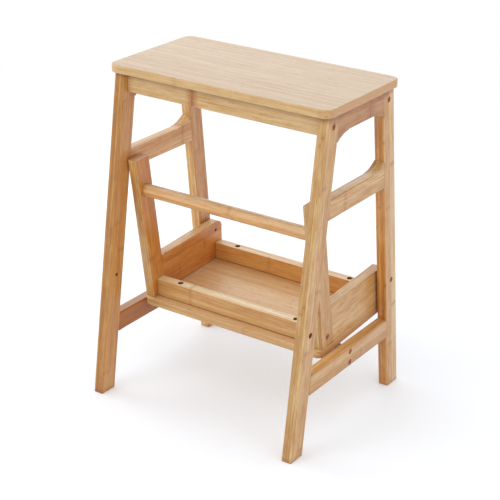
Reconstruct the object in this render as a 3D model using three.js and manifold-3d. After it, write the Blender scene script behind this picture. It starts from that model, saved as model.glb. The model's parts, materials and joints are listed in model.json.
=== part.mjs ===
// Folding step stool in laminated bamboo: a stool with splayed legs, and a step that is stored
// between its side frames as a tray and swings up and over the rear to stand on the floor.
// Millimetres, +Z up, +X along the seat, the stored step's legs at the front (-Y).
// The origin is on the floor, below the middle of the seat.
import * as THREE from 'three';
import { mergeVertices } from 'three/addons/utils/BufferGeometryUtils.js';
import Module from 'manifold-3d';

const wasm = await Module();
wasm.setup();

// Stock and overall sizes of the stool
const OVERALL_HEIGHT = 620;
const FRAME_SPAN = 439;
const FRAME_TOP_DEPTH = 215;
const FOOT_DEPTH = 379;
const LEG_WIDTH = 37;
const STOCK_THICKNESS = 20;
const SEAT_END_OVERHANG = 7;
const SEAT_EDGE_OVERHANG = 12;
const SEAT_CORNER_RADIUS = 18;
const BOARD_THICKNESS = 15;
const BOARD_EDGE_ROUND = 2;

// Rails of the side frames
const RAIL_HEIGHT = 37;
const MID_RAIL_BELOW_SEAT = 146;
const GUSSET_RADIUS = 60;
const TOP_RAIL_STRAIGHT = 80;
const MID_GUSSET_START = 50;
const TENON_THICKNESS = 8;
const TENON_LENGTH = 12;
const TENON_SHOULDER = 7;

// Aprons below the seat, and the stretcher that carries the stored step
const APRON_HEIGHT = 38;
const APRON_SETBACK = 9.5;
const STRETCHER_HEIGHT = 33;
const STRETCHER_BOLT_EDGE = 4.6;
const STRETCHER_BOLT_SPACING = 21.5;

// Step: its sizes are taken from the pivot, with its tread level
const PIVOT_HEIGHT = 228.5;
const STORED_TILT = THREE.MathUtils.degToRad(3);
const SIDE_GAP = 4;
const STEP_REACH = 235.5;
const STEP_LEG_SPLAY = THREE.MathUtils.degToRad(6.84);
const TREAD_DROP = 61;
const TREAD_INSET = 0.5;
const TREAD_FRONT_OVERHANG = 7.5;
const TREAD_REAR_OVERHANG = 3;
const TREAD_CORNER_RADIUS = 12;
const STEP_RAIL_HEIGHT = 35;
const STEP_RAIL_SETBACK = 10;
const PANEL_RISE = 17;
const PANEL_REACH = 21;
const PANEL_CORNER_RADIUS = 17;
const REAR_RAIL_SETBACK = 4;
const CROSSBAR_DIAMETER = 24;
const CROSSBAR_SOCKET_DEPTH = 8;
const CROSSBAR_FROM_TIP = 64;
const TONGUE_SHOULDER = 14;

// Fasteners
const APRON_BOLT_DROP = 19;
const STEP_BOLT_RISE = 21;
const BOLT_HEAD_DIAMETER = 9.4;
const BOLT_HEAD_HEIGHT = 4.5;
const BOLT_HEAD_CHAMFER = 0.6;
const BOLT_SOCKET_WIDTH = 4;
const BOLT_SOCKET_DEPTH = 2.6;
const BOLT_RECESS = 1.2;
const FRAME_BOLT_DIAMETER = 5;
const FRAME_BOLT_LENGTH = 50;
const PIVOT_BOLT_DIAMETER = 6;
const INSERT_DIAMETER = 10;
const INSERT_LENGTH = 14;
const WASHER_DIAMETER = 16;
const SCREW_HEAD_DIAMETER = 9.8;
const SCREW_HEAD_HEIGHT = 3.5;
const SCREW_DIAMETER = 5;
const SCREW_GRIP = 10;
const SEAT_SCREW_FROM_LEG = 71.5;
const TREAD_SCREW_FROM_PANEL = 47.5;
const SEAT_SCREW_SINK = 14;
const TREAD_SCREW_SINK = 8;
const PILOT_OVERRUN = 1.5;

// Fits: the glue line between pieces, the play round a fastener, and the overrun of a cut
const SEAM = 0.3;
const HOLE_PLAY = 0.4;
const HEAD_PLAY = 0.6;
const FLOOR_CLEARANCE = 0.5;
const CUT = 2;

const ROUND_SIDES = 20;
const CROSSBAR_SIDES = 32;
const ARC_STEPS = 7;
const CORNER_STEPS = 6;
const EDGE_STEPS = 2;

// Places that follow from the sizes above
const SEAT_LENGTH = FRAME_SPAN + 2 * SEAT_END_OVERHANG;
const SEAT_DEPTH = FRAME_TOP_DEPTH + 2 * SEAT_EDGE_OVERHANG;
const SEAT_UNDERSIDE = OVERALL_HEIGHT - BOARD_THICKNESS;
const FRAME_TOP = SEAT_UNDERSIDE - SEAM;
const FRAME_OUTER = FRAME_SPAN / 2;
const FRAME_INNER = FRAME_OUTER - STOCK_THICKNESS;
const LEG_SPLAY = (FOOT_DEPTH - FRAME_TOP_DEPTH) / 2 / SEAT_UNDERSIDE;
const COUNTERBORE_DEPTH = BOLT_HEAD_HEIGHT + BOLT_RECESS;
const APRON_BOLT_HEIGHT = SEAT_UNDERSIDE - APRON_BOLT_DROP;
const APRON_BOTTOM = SEAT_UNDERSIDE - APRON_HEIGHT;
const APRON_OUTER = FRAME_TOP_DEPTH / 2 - APRON_SETBACK;
const APRON_INNER = APRON_OUTER - STOCK_THICKNESS;
const SCREW_HOLE_DIAMETER = SCREW_HEAD_DIAMETER + 2 * HEAD_PLAY;

const STEP_OUTER = FRAME_INNER - SIDE_GAP;
const STEP_INNER = STEP_OUTER - STOCK_THICKNESS;
const STEP_LEG_TIP = PIVOT_HEIGHT - FLOOR_CLEARANCE;
const STEP_BASE = -TREAD_DROP + SEAM;
const STEP_RAIL_TOP = STEP_RAIL_HEIGHT - TREAD_DROP;
const CROSSBAR_HEIGHT = STEP_LEG_TIP - CROSSBAR_FROM_TIP;
const STEP_BOLT_HEIGHT = STEP_BOLT_RISE - TREAD_DROP;
const REAR_RAIL_MIDDLE = PANEL_REACH - REAR_RAIL_SETBACK - STOCK_THICKNESS / 2;
const FRONT_RAIL_OUTER = stepLegFront(STEP_BASE) + STEP_RAIL_SETBACK;
const FRONT_RAIL_MIDDLE = FRONT_RAIL_OUTER + STOCK_THICKNESS / 2;

// The stretcher's front upper edge meets the underside of the tilted tread
const TREAD_UNDERSIDE = -TREAD_DROP - BOARD_THICKNESS;
const PIVOT_DEPTH = legMiddle(PIVOT_HEIGHT);
const STRETCHER_TOP = treadUndersideAt(-STOCK_THICKNESS / 2) - SEAM;
const STRETCHER_BOTTOM = STRETCHER_TOP - STRETCHER_HEIGHT;

// Fastener places: bolt tips along X, stretcher bolts by height, screws by x and depth
const FRAME_BOLT_TIP = FRAME_OUTER - COUNTERBORE_DEPTH - FRAME_BOLT_LENGTH;
const STEP_BOLT_TIP = STEP_OUTER - COUNTERBORE_DEPTH - FRAME_BOLT_LENGTH;
const APRON_MIDDLE = (APRON_OUTER + APRON_INNER) / 2;
const SEAT_SCREW_OUT = FRAME_INNER - SEAT_SCREW_FROM_LEG;
const TREAD_SCREW_OUT = STEP_INNER - TREAD_SCREW_FROM_PANEL;
const stretcherBoltHeights = [0, 1].map(
  (row) => STRETCHER_TOP - STRETCHER_BOLT_EDGE - row * STRETCHER_BOLT_SPACING,
);
const seatScrewPlaces = [-1, 1].flatMap(
  (end) => [-1, 1].map((side) => [side * SEAT_SCREW_OUT, end * APRON_MIDDLE]),
);
const treadScrewPlaces = [FRONT_RAIL_MIDDLE, REAR_RAIL_MIDDLE].flatMap(
  (depth) => [-1, 1].map((side) => [side * TREAD_SCREW_OUT, depth]),
);

const BAMBOO = { color: 0xd2a478, roughness: 0.5, metalness: 0 };
const BAMBOO_TOP = { color: 0xe0c6a2, roughness: 0.42, metalness: 0 };
const BRONZE = { color: 0x5a3a2a, roughness: 0.4, metalness: 0.8 };
const STEEL = { color: 0x8d8a85, roughness: 0.35, metalness: 0.9 };

// Outer edge of a leg's outline at a height, as a distance from the middle of the stool
function legOuter(height) {
  return FOOT_DEPTH / 2 - LEG_SPLAY * height;
}

function legInner(height) {
  return legOuter(height) - LEG_WIDTH;
}

function legMiddle(height) {
  return legOuter(height) - LEG_WIDTH / 2;
}

// Front and rear edges of a step leg at a height above the pivot, in the step's own frame
function stepLegFront(height) {
  return -STEP_REACH + Math.tan(STEP_LEG_SPLAY) * (STEP_LEG_TIP - height);
}

function stepLegRear(height) {
  return stepLegFront(height) + LEG_WIDTH;
}

function stepLegMiddle(height) {
  return stepLegFront(height) + LEG_WIDTH / 2;
}

// Height of the stored tread's underside above the floor, at a depth of the stool
function treadUndersideAt(depth) {
  const sine = Math.sin(STORED_TILT);
  const cosine = Math.cos(STORED_TILT);
  const along = (depth - PIVOT_DEPTH + TREAD_UNDERSIDE * sine) / cosine;
  return PIVOT_HEIGHT + along * sine + TREAD_UNDERSIDE * cosine;
}

function outline(points) {
  return new THREE.Shape(points.map(([depth, height]) => new THREE.Vector2(depth, height)));
}

function toSolid(geometry) {
  const bare = geometry.clone();
  bare.deleteAttribute('normal');
  bare.deleteAttribute('uv');
  const merged = mergeVertices(bare);
  return new wasm.Manifold(new wasm.Mesh({
    numProp: 3,
    vertProperties: new Float32Array(merged.attributes.position.array),
    triVerts: new Uint32Array(merged.index.array),
  }));
}

function toGeometry(solid) {
  const { vertProperties, triVerts } = solid.getMesh();
  const indexed = new THREE.BufferGeometry();
  indexed.setAttribute('position', new THREE.BufferAttribute(vertProperties, 3));
  indexed.setIndex(new THREE.BufferAttribute(triVerts, 1));
  const geometry = indexed.toNonIndexed();
  geometry.computeVertexNormals();
  return geometry;
}

function cutAll(solid, cuts) {
  return cuts.reduce((rest, cut) => rest.subtract(cut), solid);
}

// An outline in depth and height becomes a solid between two places along X
function slab(shape, fromX, toX) {
  const low = Math.min(fromX, toX);
  const depth = Math.abs(toX - fromX);
  const geometry = new THREE.ExtrudeGeometry(shape, {
    depth, bevelEnabled: false, curveSegments: ARC_STEPS,
  });
  const axes = new THREE.Matrix4().makeBasis(
    new THREE.Vector3(0, 1, 0),
    new THREE.Vector3(0, 0, 1),
    new THREE.Vector3(1, 0, 0),
  );
  geometry.applyMatrix4(axes);
  geometry.translate(low, 0, 0);
  return toSolid(geometry);
}

function rodAlongX(diameter, fromX, toX, depth, height, sides = ROUND_SIDES) {
  const length = Math.abs(toX - fromX);
  const geometry = new THREE.CylinderGeometry(diameter / 2, diameter / 2, length, sides);
  geometry.rotateZ(Math.PI / 2);
  geometry.translate((fromX + toX) / 2, depth, height);
  return toSolid(geometry);
}

function rodAlongZ(diameter, fromZ, toZ, x, depth) {
  const length = Math.abs(toZ - fromZ);
  const geometry = new THREE.CylinderGeometry(diameter / 2, diameter / 2, length, ROUND_SIDES);
  geometry.rotateX(Math.PI / 2);
  geometry.translate(x, depth, (fromZ + toZ) / 2);
  return toSolid(geometry);
}

function block(fromX, toX, fromY, toY, fromZ, toZ) {
  const geometry = new THREE.BoxGeometry(
    Math.abs(toX - fromX), Math.abs(toY - fromY), Math.abs(toZ - fromZ),
  );
  geometry.translate((fromX + toX) / 2, (fromY + toY) / 2, (fromZ + toZ) / 2);
  return toSolid(geometry);
}

// A counterbored bolt hole through a piece whose outer face is at side * outerX
function boltHole(side, outerX, innerX, shankDiameter, depth, height) {
  const headDiameter = BOLT_HEAD_DIAMETER + 2 * HEAD_PLAY;
  const floorX = outerX - COUNTERBORE_DEPTH;
  const boreDiameter = shankDiameter + 2 * HOLE_PLAY;
  const recess = rodAlongX(headDiameter, side * floorX, side * (outerX + CUT), depth, height);
  const bore = rodAlongX(boreDiameter, side * (innerX - CUT), side * outerX, depth, height);
  return recess.add(bore);
}

// The blind bore for a bolt's shank, in the end of a cross piece
function endBore(side, endX, tipX, depth, height) {
  const diameter = FRAME_BOLT_DIAMETER + 2 * HOLE_PLAY;
  const bottomX = tipX - PILOT_OVERRUN;
  return rodAlongX(diameter, side * bottomX, side * (endX + CUT), depth, height);
}

// A tenon or its mortise on a slanted leg edge: fit widens the mortise by the glue line
function tenonOutline(edgeAt, inward, bottom, top, fit) {
  const root = -inward * (SEAM + CUT);
  const end = inward * (TENON_LENGTH + fit);
  const low = bottom - fit;
  const high = top + fit;
  return outline([
    [edgeAt(low) + root, low],
    [edgeAt(low) + end, low],
    [edgeAt(high) + end, high],
    [edgeAt(high) + root, high],
  ]);
}

function tenon(shape, side, outerX, fit) {
  const middleX = side * (outerX - STOCK_THICKNESS / 2);
  const half = TENON_THICKNESS / 2 + fit;
  return slab(shape, middleX - half, middleX + half);
}

// The three rails of a side frame, by the height of their lower and upper edges
const sideRails = {
  top: { bottom: SEAT_UNDERSIDE - RAIL_HEIGHT, top: FRAME_TOP },
  mid: {
    bottom: SEAT_UNDERSIDE - MID_RAIL_BELOW_SEAT - RAIL_HEIGHT,
    top: SEAT_UNDERSIDE - MID_RAIL_BELOW_SEAT,
  },
  lower: { bottom: STRETCHER_BOTTOM, top: STRETCHER_BOTTOM + RAIL_HEIGHT },
};

function railTenonShape(rail, end, fit) {
  const edgeAt = (height) => end * legInner(height);
  return tenonOutline(edgeAt, end, rail.bottom + TENON_SHOULDER, rail.top - TENON_SHOULDER, fit);
}

// A stool leg: end is -1 at the front and 1 at the rear. All four are the same part,
// so the front legs carry the pivot hole too.
function stoolLeg(side, end) {
  const blank = slab(outline([
    [end * legOuter(0), 0],
    [end * legOuter(FRAME_TOP), FRAME_TOP],
    [end * legInner(FRAME_TOP), FRAME_TOP],
    [end * legInner(0), 0],
  ]), side * FRAME_INNER, side * FRAME_OUTER);
  const mortises = Object.values(sideRails).map(
    (rail) => tenon(railTenonShape(rail, end, SEAM), side, FRAME_OUTER, SEAM),
  );
  const apronHole = boltHole(
    side, FRAME_OUTER, FRAME_INNER, FRAME_BOLT_DIAMETER,
    end * legMiddle(APRON_BOLT_HEIGHT), APRON_BOLT_HEIGHT,
  );
  const pivotHole = boltHole(
    side, FRAME_OUTER, FRAME_INNER, PIVOT_BOLT_DIAMETER, end * PIVOT_DEPTH, PIVOT_HEIGHT,
  );
  return cutAll(blank, [...mortises, apronHole, pivotHole]);
}

function railEnd(height) {
  return legInner(height) - SEAM;
}

// A gusset is an arc that leaves a level edge at startDepth and curves up (1) or down (-1).
// This is the angle that it has swept where it meets the slanted end of its rail.
function gussetSweep(startDepth, edgeHeight, direction) {
  const slope = LEG_SPLAY * direction;
  const run = railEnd(edgeHeight) - startDepth - slope * GUSSET_RADIUS;
  return Math.asin(run / GUSSET_RADIUS / Math.hypot(1, slope)) + Math.atan(slope);
}

// The top rail: both ends of its lower edge sweep down into the legs
function topRailShape() {
  const { bottom, top } = sideRails.top;
  const start = TOP_RAIL_STRAIGHT / 2;
  const sweep = gussetSweep(start, bottom, -1);
  const centreHeight = bottom - GUSSET_RADIUS;
  const quarter = Math.PI / 2;
  const shape = new THREE.Shape();
  shape.moveTo(railEnd(top), top);
  shape.lineTo(-railEnd(top), top);
  shape.absarc(-start, centreHeight, GUSSET_RADIUS, quarter + sweep, quarter, true);
  shape.absarc(start, centreHeight, GUSSET_RADIUS, quarter, quarter - sweep, true);
  shape.closePath();
  return shape;
}

// The mid rail: its upper edge sweeps up into the rear leg only
function midRailShape() {
  const { bottom, top } = sideRails.mid;
  const sweep = gussetSweep(MID_GUSSET_START, top, 1);
  const quarter = Math.PI / 2;
  const shape = new THREE.Shape();
  shape.moveTo(-railEnd(top), top);
  shape.lineTo(-railEnd(bottom), bottom);
  shape.lineTo(railEnd(bottom), bottom);
  shape.absarc(
    MID_GUSSET_START, top + GUSSET_RADIUS, GUSSET_RADIUS, sweep - quarter, -quarter, true,
  );
  shape.closePath();
  return shape;
}

function lowerRailShape() {
  const { bottom, top } = sideRails.lower;
  return outline([
    [-railEnd(bottom), bottom], [railEnd(bottom), bottom],
    [railEnd(top), top], [-railEnd(top), top],
  ]);
}

function sideRail(shape, rail, side) {
  const blank = slab(shape, side * FRAME_INNER, side * FRAME_OUTER);
  const tenons = [-1, 1].map(
    (end) => tenon(railTenonShape(rail, end, 0), side, FRAME_OUTER, 0),
  );
  return tenons.reduce((whole, one) => whole.add(one), blank);
}

function lowerRail(side) {
  const holes = stretcherBoltHeights.map(
    (height) => boltHole(side, FRAME_OUTER, FRAME_INNER, FRAME_BOLT_DIAMETER, 0, height),
  );
  return cutAll(sideRail(lowerRailShape(), sideRails.lower, side), holes);
}

// A board with rounded corners and eased edges, its underside at the given height
function board(halfLength, front, rear, underside, cornerRadius) {
  const inset = BOARD_EDGE_ROUND;
  const shape = new THREE.Shape();
  shape.moveTo(-halfLength + cornerRadius, front);
  shape.lineTo(halfLength - cornerRadius, front);
  shape.absarc(halfLength - cornerRadius, front + cornerRadius, cornerRadius, -Math.PI / 2, 0);
  shape.absarc(halfLength - cornerRadius, rear - cornerRadius, cornerRadius, 0, Math.PI / 2);
  shape.absarc(-halfLength + cornerRadius, rear - cornerRadius, cornerRadius, Math.PI / 2, Math.PI);
  shape.absarc(
    -halfLength + cornerRadius, front + cornerRadius, cornerRadius, Math.PI, 3 * Math.PI / 2,
  );
  const geometry = new THREE.ExtrudeGeometry(shape, {
    depth: BOARD_THICKNESS - 2 * inset,
    bevelThickness: inset,
    bevelSize: inset,
    bevelOffset: -inset,
    bevelSegments: EDGE_STEPS,
    curveSegments: CORNER_STEPS,
  });
  geometry.translate(0, 0, underside + inset);
  return toSolid(geometry);
}

// Screws through the aprons' lower edges hold the seat
function seatBoard() {
  const blank = board(
    SEAT_LENGTH / 2, -SEAT_DEPTH / 2, SEAT_DEPTH / 2, SEAT_UNDERSIDE, SEAT_CORNER_RADIUS,
  );
  const pilots = seatScrewPlaces.map(([x, depth]) => rodAlongZ(
    SCREW_DIAMETER + 2 * HOLE_PLAY,
    SEAT_UNDERSIDE - CUT, SEAT_UNDERSIDE + SCREW_GRIP + PILOT_OVERRUN, x, depth,
  ));
  return cutAll(blank, pilots);
}

function apron(end) {
  const bar = block(
    -FRAME_INNER + SEAM, FRAME_INNER - SEAM, end * APRON_INNER, end * APRON_OUTER,
    APRON_BOTTOM, FRAME_TOP,
  );
  const bores = [-1, 1].map((side) => endBore(
    side, FRAME_INNER, FRAME_BOLT_TIP, end * legMiddle(APRON_BOLT_HEIGHT), APRON_BOLT_HEIGHT,
  ));
  const screwHoles = [-1, 1].flatMap((side) => screwHole(
    side * SEAT_SCREW_OUT, end * APRON_MIDDLE, APRON_BOTTOM, FRAME_TOP, SEAT_SCREW_SINK,
  ));
  return cutAll(bar, [...bores, ...screwHoles]);
}

// A sunk screw hole up or down through a rail, from the edge where its head sits
function screwHole(x, depth, headEdge, farEdge, sink) {
  const way = Math.sign(farEdge - headEdge);
  return [
    rodAlongZ(SCREW_HOLE_DIAMETER, headEdge - way * CUT, headEdge + way * sink, x, depth),
    rodAlongZ(SCREW_DIAMETER + 2 * HOLE_PLAY, headEdge, farEdge + way * CUT, x, depth),
  ];
}

function stretcher() {
  const bar = block(
    -FRAME_INNER + SEAM, FRAME_INNER - SEAM, -STOCK_THICKNESS / 2, STOCK_THICKNESS / 2,
    STRETCHER_BOTTOM, STRETCHER_TOP,
  );
  const bores = [-1, 1].flatMap((side) => stretcherBoltHeights.map(
    (height) => endBore(side, FRAME_INNER, FRAME_BOLT_TIP, 0, height),
  ));
  return cutAll(bar, bores);
}

// The step's pieces are drawn in a frame whose origin is the pivot axis, with the tread level
function tongueShape(fit) {
  return tenonOutline(
    stepLegRear, -1, STEP_BASE + TONGUE_SHOULDER, PANEL_RISE - TONGUE_SHOULDER, fit,
  );
}

function stepLeg(side) {
  const blank = slab(outline([
    [stepLegFront(STEP_BASE), STEP_BASE],
    [stepLegRear(STEP_BASE), STEP_BASE],
    [stepLegRear(STEP_LEG_TIP), STEP_LEG_TIP],
    [stepLegFront(STEP_LEG_TIP), STEP_LEG_TIP],
  ]), side * STEP_INNER, side * STEP_OUTER);
  const socket = rodAlongX(
    CROSSBAR_DIAMETER + 2 * SEAM,
    side * (STEP_INNER - CUT), side * (STEP_INNER + CROSSBAR_SOCKET_DEPTH + SEAM),
    stepLegMiddle(CROSSBAR_HEIGHT), CROSSBAR_HEIGHT, CROSSBAR_SIDES,
  );
  const railHole = boltHole(
    side, STEP_OUTER, STEP_INNER, FRAME_BOLT_DIAMETER,
    stepLegMiddle(STEP_BOLT_HEIGHT), STEP_BOLT_HEIGHT,
  );
  const mortise = tenon(tongueShape(SEAM), side, STEP_OUTER, SEAM);
  return cutAll(blank, [socket, railHole, mortise]);
}

// A side panel: its rear upper corner is rounded off beside the pivot
function stepSidePanel(side) {
  const radius = PANEL_CORNER_RADIUS;
  const shape = new THREE.Shape();
  shape.moveTo(stepLegRear(STEP_BASE) + SEAM, STEP_BASE);
  shape.lineTo(PANEL_REACH, STEP_BASE);
  shape.absarc(PANEL_REACH - radius, PANEL_RISE - radius, radius, 0, Math.PI / 2);
  shape.lineTo(stepLegRear(PANEL_RISE) + SEAM, PANEL_RISE);
  shape.closePath();
  const blank = slab(shape, side * STEP_INNER, side * STEP_OUTER);
  const whole = blank.add(tenon(tongueShape(0), side, STEP_OUTER, 0));
  const insertBore = rodAlongX(
    INSERT_DIAMETER + 2 * SEAM,
    side * (STEP_OUTER - INSERT_LENGTH - SEAM), side * (STEP_OUTER + CUT), 0, 0,
  );
  const boltBore = rodAlongX(
    PIVOT_BOLT_DIAMETER + 2 * HOLE_PLAY, side * (STEP_INNER - CUT), side * STEP_OUTER, 0, 0,
  );
  const railHole = boltHole(
    side, STEP_OUTER, STEP_INNER, FRAME_BOLT_DIAMETER, REAR_RAIL_MIDDLE, STEP_BOLT_HEIGHT,
  );
  return cutAll(whole, [insertBore, boltBore, railHole]);
}

function stepRail(middle, boltDepth) {
  const half = STOCK_THICKNESS / 2;
  const bar = block(
    -STEP_INNER + SEAM, STEP_INNER - SEAM, middle - half, middle + half,
    STEP_BASE, STEP_RAIL_TOP,
  );
  const bores = [-1, 1].map(
    (side) => endBore(side, STEP_INNER, STEP_BOLT_TIP, boltDepth, STEP_BOLT_HEIGHT),
  );
  const screwHoles = [-1, 1].flatMap((side) => screwHole(
    side * TREAD_SCREW_OUT, middle, STEP_RAIL_TOP, STEP_BASE, TREAD_SCREW_SINK,
  ));
  return cutAll(bar, [...bores, ...screwHoles]);
}

function treadBoard() {
  const blank = board(
    STEP_OUTER - TREAD_INSET,
    stepLegFront(STEP_BASE) - TREAD_FRONT_OVERHANG,
    PANEL_REACH + TREAD_REAR_OVERHANG,
    TREAD_UNDERSIDE, TREAD_CORNER_RADIUS,
  );
  const pilots = treadScrewPlaces.map(([x, depth]) => rodAlongZ(
    SCREW_DIAMETER + 2 * HOLE_PLAY,
    -TREAD_DROP + CUT, -TREAD_DROP - SCREW_GRIP - PILOT_OVERRUN, x, depth,
  ));
  return cutAll(blank, pilots);
}

function crossbar() {
  const reach = STEP_INNER + CROSSBAR_SOCKET_DEPTH;
  return rodAlongX(
    CROSSBAR_DIAMETER, -reach, reach,
    stepLegMiddle(CROSSBAR_HEIGHT), CROSSBAR_HEIGHT, CROSSBAR_SIDES,
  );
}

// A bolt along +Y with its head's top at zero: a chamfered head with a hexagon socket
function boltGeometry(diameter, shankLength) {
  const head = BOLT_HEAD_DIAMETER / 2;
  const profile = [
    [0, 0],
    [head - BOLT_HEAD_CHAMFER, 0],
    [head, -BOLT_HEAD_CHAMFER],
    [head, -BOLT_HEAD_HEIGHT],
    [diameter / 2, -BOLT_HEAD_HEIGHT],
    [diameter / 2, -BOLT_HEAD_HEIGHT - shankLength],
    [0, -BOLT_HEAD_HEIGHT - shankLength],
  ].reverse().map(([radius, height]) => new THREE.Vector2(radius, height));
  const body = new THREE.LatheGeometry(profile, ROUND_SIDES);
  const hexagonSides = 6;
  const cornerRadius = BOLT_SOCKET_WIDTH / 2 / Math.cos(Math.PI / hexagonSides);
  const height = BOLT_SOCKET_DEPTH + CUT;
  const socket = new THREE.CylinderGeometry(cornerRadius, cornerRadius, height, hexagonSides);
  socket.translate(0, height / 2 - BOLT_SOCKET_DEPTH, 0);
  return toGeometry(toSolid(body).subtract(toSolid(socket)));
}

// A tube along Y between two heights, drawn as a closed ring profile
function ringGeometry(outerDiameter, innerDiameter, height) {
  const inner = innerDiameter / 2;
  const outer = outerDiameter / 2;
  const profile = [
    [inner, 0], [outer, 0], [outer, height], [inner, height], [inner, 0],
  ].map(([radius, along]) => new THREE.Vector2(radius, along));
  return toGeometry(toSolid(new THREE.LatheGeometry(profile, ROUND_SIDES)));
}

function screwGeometry(shankLength) {
  const head = SCREW_HEAD_DIAMETER / 2;
  const shank = SCREW_DIAMETER / 2;
  const taper = SCREW_DIAMETER;
  const profile = [
    [0, -SCREW_HEAD_HEIGHT - shankLength],
    [shank, -SCREW_HEAD_HEIGHT - shankLength + taper],
    [shank, -SCREW_HEAD_HEIGHT],
    [head, -SCREW_HEAD_HEIGHT],
    [head, -SCREW_HEAD_HEIGHT / 2],
    [head / 2, 0],
    [0, 0],
  ].map(([radius, height]) => new THREE.Vector2(radius, height));
  return toGeometry(toSolid(new THREE.LatheGeometry(profile, ROUND_SIDES)));
}

function piece(name, geometry, look) {
  const mesh = new THREE.Mesh(geometry, new THREE.MeshStandardMaterial(look));
  mesh.name = name;
  return mesh;
}

function wood(name, solid, look = BAMBOO) {
  return piece(name, toGeometry(solid), look);
}

// Turns a piece drawn along +Y so that its head faces outwards on the given side
function headOutwards(mesh, side, x, depth, height) {
  mesh.rotation.z = -side * Math.PI / 2;
  mesh.position.set(side * x, depth, height);
  return mesh;
}

const SIDES = [['left', -1], ['right', 1]];
const ENDS = [['front', -1], ['rear', 1]];

function buildStand() {
  const stand = new THREE.Group();
  const frameBolt = boltGeometry(FRAME_BOLT_DIAMETER, FRAME_BOLT_LENGTH - SEAM);
  const pivotBoltReach = STOCK_THICKNESS - COUNTERBORE_DEPTH + SIDE_GAP + INSERT_LENGTH;
  const pivotBolt = boltGeometry(PIVOT_BOLT_DIAMETER, pivotBoltReach);
  const washer = ringGeometry(
    WASHER_DIAMETER, PIVOT_BOLT_DIAMETER + 2 * HOLE_PLAY, SIDE_GAP - 2 * SEAM,
  );
  const seatScrew = screwGeometry(APRON_HEIGHT - SEAT_SCREW_SINK + SCREW_GRIP);
  const frameHeadX = FRAME_OUTER - BOLT_RECESS + SEAM;
  for (const [sideName, side] of SIDES) {
    for (const [endName, end] of ENDS) {
      stand.add(wood(`${sideName}_${endName}_leg`, stoolLeg(side, end)));
      stand.add(headOutwards(
        piece(`${sideName}_${endName}_apron_bolt`, frameBolt, BRONZE),
        side, frameHeadX, end * legMiddle(APRON_BOLT_HEIGHT), APRON_BOLT_HEIGHT,
      ));
    }
    stand.add(wood(`${sideName}_top_rail`, sideRail(topRailShape(), sideRails.top, side)));
    stand.add(wood(`${sideName}_mid_rail`, sideRail(midRailShape(), sideRails.mid, side)));
    stand.add(wood(`${sideName}_lower_rail`, lowerRail(side)));
    stretcherBoltHeights.forEach((height, row) => {
      const rowName = row === 0 ? 'upper' : 'lower';
      stand.add(headOutwards(
        piece(`${sideName}_${rowName}_stretcher_bolt`, frameBolt, BRONZE),
        side, frameHeadX, 0, height,
      ));
    });
    stand.add(headOutwards(
      piece(`${sideName}_pivot_bolt`, pivotBolt, BRONZE),
      side, frameHeadX, PIVOT_DEPTH, PIVOT_HEIGHT,
    ));
    stand.add(headOutwards(
      piece(`${sideName}_pivot_washer`, washer, STEEL),
      side, STEP_OUTER + SEAM, PIVOT_DEPTH, PIVOT_HEIGHT,
    ));
  }
  for (const [endName, end] of ENDS) {
    stand.add(wood(`${endName}_apron`, apron(end)));
  }
  seatScrewPlaces.forEach(([x, depth], index) => {
    const screw = piece(`seat_screw_${index + 1}`, seatScrew, STEEL);
    screw.rotation.x = -Math.PI / 2;
    screw.position.set(x, depth, APRON_BOTTOM + SEAT_SCREW_SINK - SCREW_HEAD_HEIGHT - SEAM);
    stand.add(screw);
  });
  stand.add(wood('stretcher', stretcher()));
  stand.add(wood('seat_board', seatBoard(), BAMBOO_TOP));
  return stand;
}

function buildStep() {
  const step = new THREE.Group();
  const frameBolt = boltGeometry(FRAME_BOLT_DIAMETER, FRAME_BOLT_LENGTH - SEAM);
  const insert = ringGeometry(INSERT_DIAMETER, PIVOT_BOLT_DIAMETER + 2 * HOLE_PLAY, INSERT_LENGTH);
  const treadScrew = screwGeometry(STEP_RAIL_HEIGHT - TREAD_SCREW_SINK + SCREW_GRIP);
  const stepHeadX = STEP_OUTER - BOLT_RECESS + SEAM;
  const frontBoltDepth = stepLegMiddle(STEP_BOLT_HEIGHT);
  for (const [sideName, side] of SIDES) {
    step.add(wood(`${sideName}_step_leg`, stepLeg(side)));
    step.add(wood(`${sideName}_step_side_panel`, stepSidePanel(side)));
    step.add(headOutwards(
      piece(`${sideName}_pivot_insert`, insert, STEEL), side, STEP_OUTER - INSERT_LENGTH, 0, 0,
    ));
    step.add(headOutwards(
      piece(`${sideName}_step_front_bolt`, frameBolt, BRONZE),
      side, stepHeadX, frontBoltDepth, STEP_BOLT_HEIGHT,
    ));
    step.add(headOutwards(
      piece(`${sideName}_step_rear_bolt`, frameBolt, BRONZE),
      side, stepHeadX, REAR_RAIL_MIDDLE, STEP_BOLT_HEIGHT,
    ));
  }
  step.add(wood('step_front_rail', stepRail(FRONT_RAIL_MIDDLE, frontBoltDepth)));
  step.add(wood('step_rear_rail', stepRail(REAR_RAIL_MIDDLE, REAR_RAIL_MIDDLE)));
  step.add(wood('step_crossbar', crossbar()));
  step.add(wood('step_tread_board', treadBoard(), BAMBOO_TOP));
  treadScrewPlaces.forEach(([x, depth], index) => {
    const screw = piece(`tread_screw_${index + 1}`, treadScrew, STEEL);
    screw.rotation.x = Math.PI / 2;
    screw.position.set(x, depth, STEP_RAIL_TOP - TREAD_SCREW_SINK + SCREW_HEAD_HEIGHT + SEAM);
    step.add(screw);
  });
  step.position.set(0, PIVOT_DEPTH, PIVOT_HEIGHT);
  step.rotation.x = STORED_TILT;
  return step;
}

const foldingStepStool = new THREE.Group();
foldingStepStool.add(buildStand());
foldingStepStool.add(buildStep());
foldingStepStool.updateMatrixWorld(true);

export default foldingStepStool;
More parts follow.
